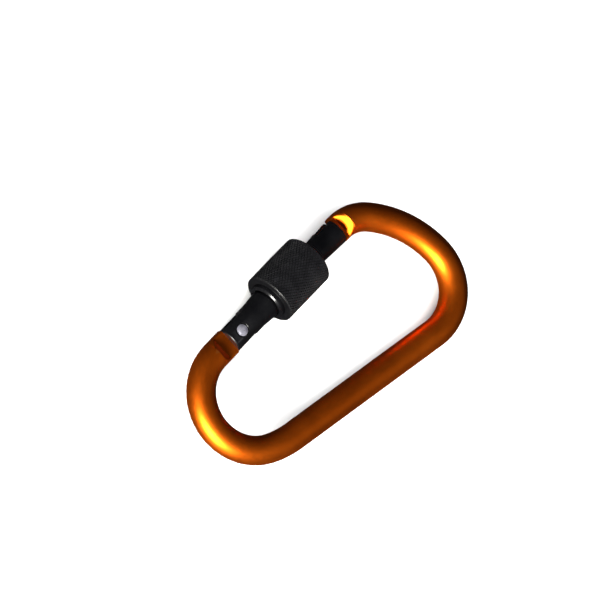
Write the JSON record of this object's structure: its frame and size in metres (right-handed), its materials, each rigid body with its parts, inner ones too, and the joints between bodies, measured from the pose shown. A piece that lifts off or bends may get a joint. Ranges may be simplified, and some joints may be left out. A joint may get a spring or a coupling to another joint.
{
  "type": "screw-lock carabiner",
  "caption": "D-shaped snap carabiner bent from round rod, with a sprung gate on a rivet and a knurled screw-lock sleeve.",
  "frame": {"origin": "middle of the straight spine, on the axis of the rod", "axes": "+X along the spine towards the wide end, +Y from the spine towards the gate, +Z square to the plane of the D"},
  "size_m": [0.08, 0.0405, 0.0128],
  "materials": {
    "orange_anodised": "satin orange anodising",
    "black_anodised": "satin black anodising",
    "black_knurled": "black anodising over fine diamond knurling",
    "bright_rivet": "bright domed head",
    "spring_steel": "drawn wire"
  },
  "bodies": {
    "body": {"bent_rod_body": "orange_anodised"},
    "gate": {"gate": "black_anodised", "hinge_rivet": "bright_rivet", "closing_spring": "spring_steel"},
    "plunger": {"spring_plunger": "spring_steel"},
    "sleeve": {"locking_sleeve": "black_knurled"}
  },
  "joints": [
    {"name": "gate_swing", "type": "hinge", "parent": "body", "child": "gate", "pos_m": [-0.01981, 0.02666, 0], "axis": [0, 0, -1], "range_deg": [0, 30], "stiffness_Nm_per_rad": 0.05, "springref_deg": -57.3},
    {"name": "plunger_travel", "type": "slide", "parent": "gate", "child": "plunger", "axis": [0.9869, 0.1616, 0], "range_m": [0, 0.0008], "deforming": ["closing_spring"]},
    {"name": "sleeve_travel", "type": "slide", "parent": "gate", "child": "sleeve", "axis": [0.9869, 0.1616, 0], "range_m": [0, 0.0136]}
  ],
  "couplings": [
    {"joint": "plunger_travel", "follows": "gate_swing", "m_per_rad": 0.0014}
  ]
}
